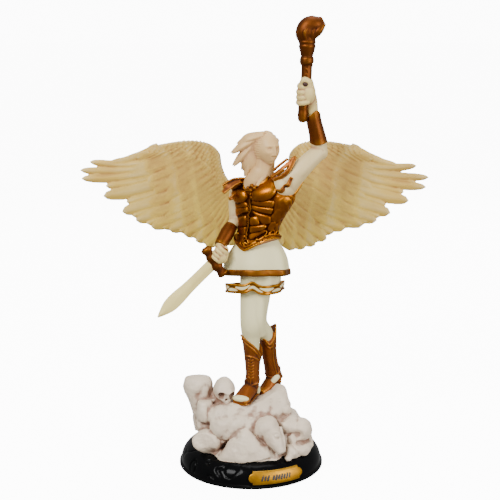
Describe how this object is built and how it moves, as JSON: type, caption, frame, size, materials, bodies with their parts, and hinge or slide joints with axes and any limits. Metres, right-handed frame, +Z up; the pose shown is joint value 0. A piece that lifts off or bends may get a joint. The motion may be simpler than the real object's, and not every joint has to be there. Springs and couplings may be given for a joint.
{
  "type": "winged archangel statue",
  "caption": "Winged archangel in muscled armour raising a torch and lowering a sword, standing on a heap of rocks and skulls over an oval base.",
  "frame": {"origin": "middle of the base's underside", "axes": "+X to the right of someone facing the figure, +Y away from them, +Z up"},
  "size_m": [0.2417, 0.095, 0.3058],
  "materials": {
    "black_lacquer": "gloss black lacquer on cast resin",
    "gilt_plate": "satin gilt sheet",
    "painted_resin": "hand painted cast resin, ivory with bronze armour",
    "feather_paint": "matt ivory paint with an ochre wash"
  },
  "bodies": {
    "root": {"base": "black_lacquer", "name_plate": "gilt_plate", "figure": "painted_resin", "wing_left": "feather_paint", "wing_right": "feather_paint"}
  },
  "joints": []
}
